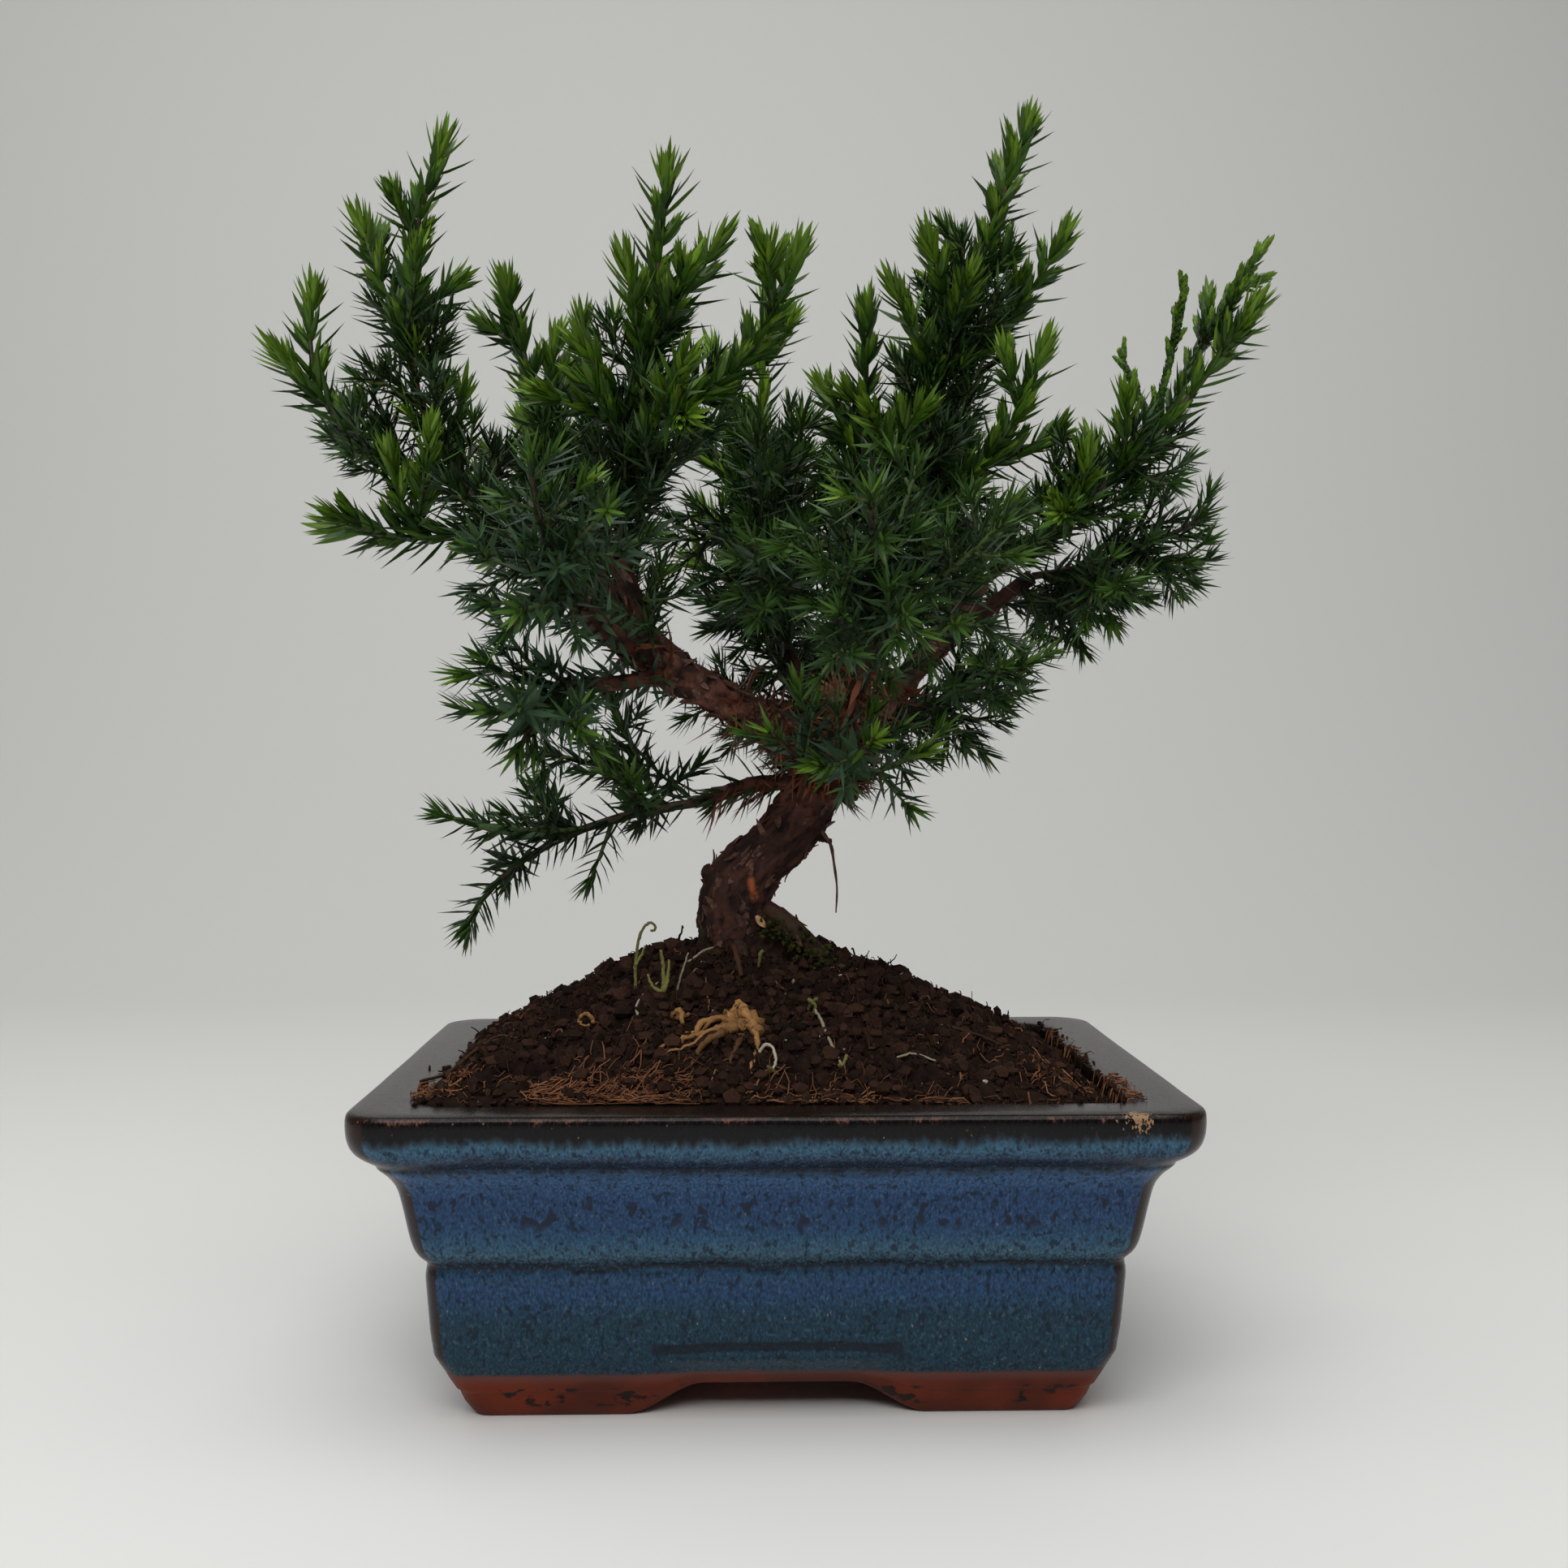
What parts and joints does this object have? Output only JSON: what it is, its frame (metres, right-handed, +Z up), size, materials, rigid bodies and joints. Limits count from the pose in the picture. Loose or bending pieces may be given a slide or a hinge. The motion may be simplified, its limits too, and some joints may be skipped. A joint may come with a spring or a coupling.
{
  "type": "juniper bonsai in a pot",
  "caption": "Small informal upright juniper bonsai with spreading needle foliage, standing on a mound of soil in a rectangular glazed ceramic pot with corner feet.",
  "frame": {"origin": "on the ground under the middle of the pot, which is the bottom centre of the part's box to within 2 mm", "axes": "+Z up, +X to the right seen from the front of the pot, +Y away from the front"},
  "size_m": [0.2043, 0.1408, 0.2501],
  "materials": {
    "glazed_pot": "mottled blue and black glaze over brown clay",
    "soil": "dark crumbly potting soil",
    "bark": "flaky reddish brown bark",
    "foliage": "satin juniper needles"
  },
  "bodies": {
    "root": {"pot": "glazed_pot", "soil": "soil", "trunk": "bark", "bough_left": "bark", "bough_left_outer": "bark", "bough_left_inner": "bark", "bough_centre": "bark", "bough_front_left": "bark", "bough_drooping": "bark", "bough_low_left": "bark", "bough_back_left": "bark", "bough_back": "bark", "bough_back_low": "bark", "bough_inner": "bark", "bough_right_rising": "bark", "bough_right_inner": "bark", "bough_right_outer": "bark", "bough_right_low": "bark", "bough_front_right": "bark", "bough_under_right": "bark", "bough_back_right": "bark", "foliage_left_outer": "foliage", "foliage_left_inner": "foliage", "foliage_centre": "foliage", "foliage_front_left": "foliage", "foliage_drooping": "foliage", "foliage_low_left": "foliage", "foliage_back_left": "foliage", "foliage_back": "foliage", "foliage_back_low": "foliage", "foliage_inner": "foliage", "foliage_right_rising": "foliage", "foliage_right_inner": "foliage", "foliage_right_outer": "foliage", "foliage_right_low": "foliage", "foliage_front_right": "foliage", "foliage_fork": "foliage", "foliage_under_right": "foliage", "foliage_back_right": "foliage"}
  },
  "joints": []
}
